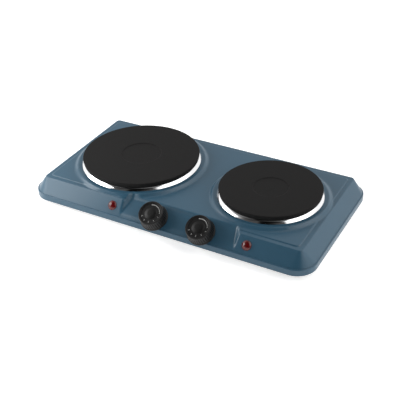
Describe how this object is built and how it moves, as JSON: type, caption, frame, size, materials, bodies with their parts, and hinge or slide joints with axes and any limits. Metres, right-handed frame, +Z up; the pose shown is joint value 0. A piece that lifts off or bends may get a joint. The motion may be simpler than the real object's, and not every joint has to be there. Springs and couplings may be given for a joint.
{
  "type": "double electric hot plate",
  "caption": "Table-top electric hot plate: painted steel housing with a large and a small cast-iron plate in bright rings, ribbed thermostat knobs in a tilted recess and red pilot lamps.",
  "frame": {"origin": "middle of the footprint, on the surface that the feet stand on", "axes": "+X along the length, towards the smaller plate; +Y to the back; +Z up"},
  "size_m": [0.47, 0.2718, 0.0544],
  "materials": {
    "blue_paint": "semi-gloss stoved blue-grey paint",
    "cast_iron": "matt black heat-proof coating with a fine turned grain",
    "bright_steel": "polished stainless steel",
    "resistance_wire": "dull resistance alloy",
    "pressed_ceramic": "chalky pressed ceramic filling",
    "zinc_steel": "zinc-plated sheet and fasteners",
    "ceramic": "glazed white ceramic",
    "nickel": "nickel-plated contacts",
    "brass": "turned brass",
    "black_plastic": "black thermoset, slightly glossy",
    "red_lens": "translucent red moulded lens",
    "lamp_white": "white lamp holder",
    "foot_rubber": "pale grey rubber",
    "bush_rubber": "black rubber",
    "terminal_plastic": "white moulded terminal block",
    "brown_sleeve": "brown silicone sleeve",
    "blue_sleeve": "blue silicone sleeve",
    "green_sleeve": "green and yellow sleeve",
    "white_sleeve": "white glass-fibre sleeve"
  },
  "bodies": {
    "housing": {"base_clips": "zinc_steel", "base_plate": "zinc_steel", "base_screws": "zinc_steel", "cord_bush": "bush_rubber", "earth_screw": "zinc_steel", "earth_tag": "brass", "earth_wire": "green_sleeve", "foot_nuts": "zinc_steel", "foot_screws": "zinc_steel", "heater_wires": "white_sleeve", "lamp_washers": "zinc_steel", "lamp_wires": "white_sleeve", "left_centre_stud": "zinc_steel", "left_clamp_strap": "zinc_steel", "left_coil_insulation": "pressed_ceramic", "left_cover_disc": "zinc_steel", "left_heating_coil": "resistance_wire", "left_hotplate": "cast_iron", "left_lamp_body": "lamp_white", "left_lamp_lens": "red_lens", "left_shaft_bush": "brass", "left_terminal_block": "ceramic", "left_terminal_pins": "nickel", "left_thermostat_bracket": "zinc_steel", "left_thermostat_leaves": "nickel", "left_thermostat_stack": "ceramic", "left_trim_ring": "bright_steel", "live_wires": "brown_sleeve", "mains_block": "terminal_plastic", "mains_screws": "brass", "neutral_wires": "blue_sleeve", "right_centre_stud": "zinc_steel", "right_clamp_strap": "zinc_steel", "right_coil_insulation": "pressed_ceramic", "right_cover_disc": "zinc_steel", "right_heating_coil": "resistance_wire", "right_hotplate": "cast_iron", "right_lamp_body": "lamp_white", "right_lamp_lens": "red_lens", "right_shaft_bush": "brass", "right_terminal_block": "ceramic", "right_terminal_pins": "nickel", "right_thermostat_bracket": "zinc_steel", "right_thermostat_leaves": "nickel", "right_thermostat_stack": "ceramic", "right_trim_ring": "bright_steel", "rubber_feet": "foot_rubber", "strap_nuts": "zinc_steel", "strap_washers": "zinc_steel", "thermostat_screws": "zinc_steel", "top_housing": "blue_paint"},
    "left_control": {"left_knob": "black_plastic", "left_knob_clip": "zinc_steel", "left_control_shaft": "brass"},
    "right_control": {"right_knob": "black_plastic", "right_knob_clip": "zinc_steel", "right_control_shaft": "brass"}
  },
  "joints": [
    {"name": "left_knob_turn", "type": "hinge", "parent": "housing", "child": "left_control", "pos_m": [-0.0125, -0.11031, 0.02468], "axis": [0, 0.5299, -0.848], "range_deg": [0, 270]},
    {"name": "right_knob_turn", "type": "hinge", "parent": "housing", "child": "right_control", "pos_m": [0.0655, -0.11031, 0.02468], "axis": [0, 0.5299, -0.848], "range_deg": [0, 270]}
  ]
}
